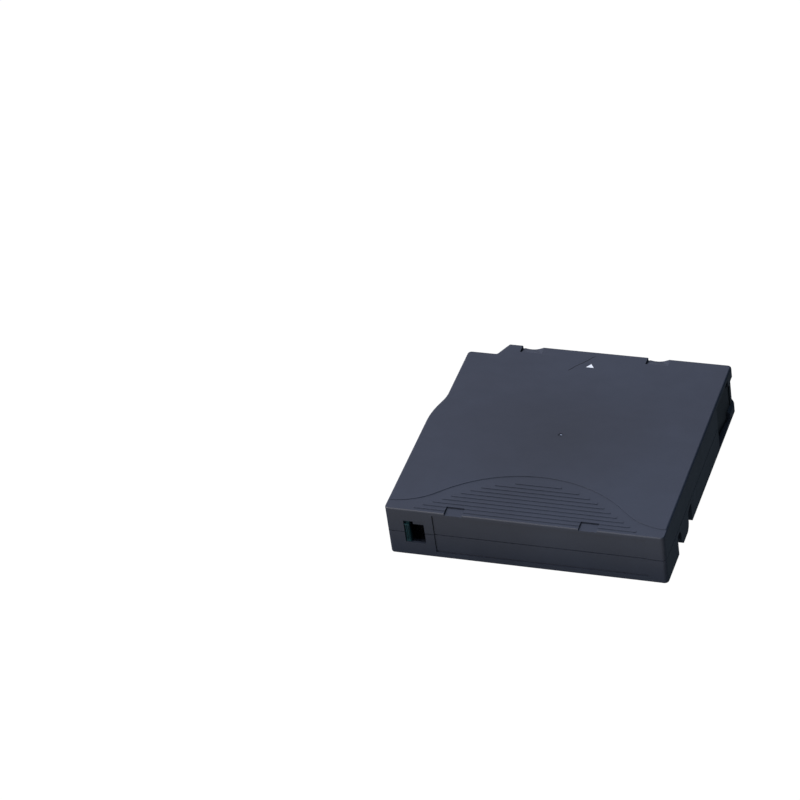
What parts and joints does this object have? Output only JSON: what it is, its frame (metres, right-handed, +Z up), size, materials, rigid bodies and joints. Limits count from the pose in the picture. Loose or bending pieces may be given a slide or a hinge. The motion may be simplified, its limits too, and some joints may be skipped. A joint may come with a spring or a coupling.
{
  "type": "data tape cartridge",
  "caption": "Flat square single-reel tape cartridge with a ribbed grip end, sliding access door, write-protect slider, sprung reel brake and leader pin.",
  "frame": {"origin": "middle of the case's outline on its underside", "axes": "+X to the side with the access door, +Y to the leading edge that enters the drive first, +Z up through the top"},
  "size_m": [0.1054, 0.102, 0.0215],
  "materials": {
    "case_plastic": "finely textured moulded polycarbonate, dark slate",
    "door_plastic": "smooth moulded acetal, near black",
    "slider_plastic": "smooth moulded acetal, dark teal",
    "reel_plastic": "moulded polycarbonate, pale grey",
    "clip_plastic": "moulded acetal, natural white",
    "brake_plastic": "moulded acetal, natural white",
    "tape_film": "coated polyester film, dark brown",
    "steel": "bright stainless steel",
    "spring_steel": "drawn stainless spring steel",
    "chip_board": "epoxy glass board with solder mask"
  },
  "bodies": {
    "case": {"upper_shell": "case_plastic", "lower_shell": "case_plastic", "case_screws": "steel", "leader_tape": "tape_film", "leader_pin": "steel", "leader_clip": "clip_plastic", "pin_spring": "spring_steel", "door_spring": "spring_steel", "brake_spring": "spring_steel", "memory_chip": "chip_board"},
    "door": {"access_door": "door_plastic"},
    "slider": {"write_protect_slider": "slider_plastic"},
    "reel": {"reel_hub": "reel_plastic", "upper_flange": "reel_plastic", "hub_washer": "steel", "tape_pack": "tape_film"},
    "brake": {"brake_button": "brake_plastic"},
    "spider": {"clutch_spider": "brake_plastic"}
  },
  "joints": [
    {"name": "door_slide", "type": "slide", "parent": "case", "child": "door", "axis": [0, -1, 0], "range_m": [0, 0.015], "stiffness_N_per_m": 40, "springref_m": -0.01, "deforming": ["door_spring"]},
    {"name": "write_protect_slide", "type": "slide", "parent": "case", "child": "slider", "axis": [1, 0, 0], "range_m": [0, 0.0053]},
    {"name": "reel_spin", "type": "hinge", "parent": "case", "child": "reel", "pos_m": [0, 0, 0], "axis": [0, 0, 1], "continuous": true},
    {"name": "brake_lift", "type": "slide", "parent": "case", "child": "brake", "axis": [0, 0, 1], "range_m": [0, 0.0018], "stiffness_N_per_m": 400, "springref_m": -0.004, "deforming": ["brake_spring"]},
    {"name": "spider_lift", "type": "slide", "parent": "reel", "child": "spider", "axis": [0, 0, 1], "range_m": [0, 0.0018]}
  ],
  "couplings": [
    {"joint": "spider_lift", "follows": "brake_lift", "ratio": 1}
  ]
}
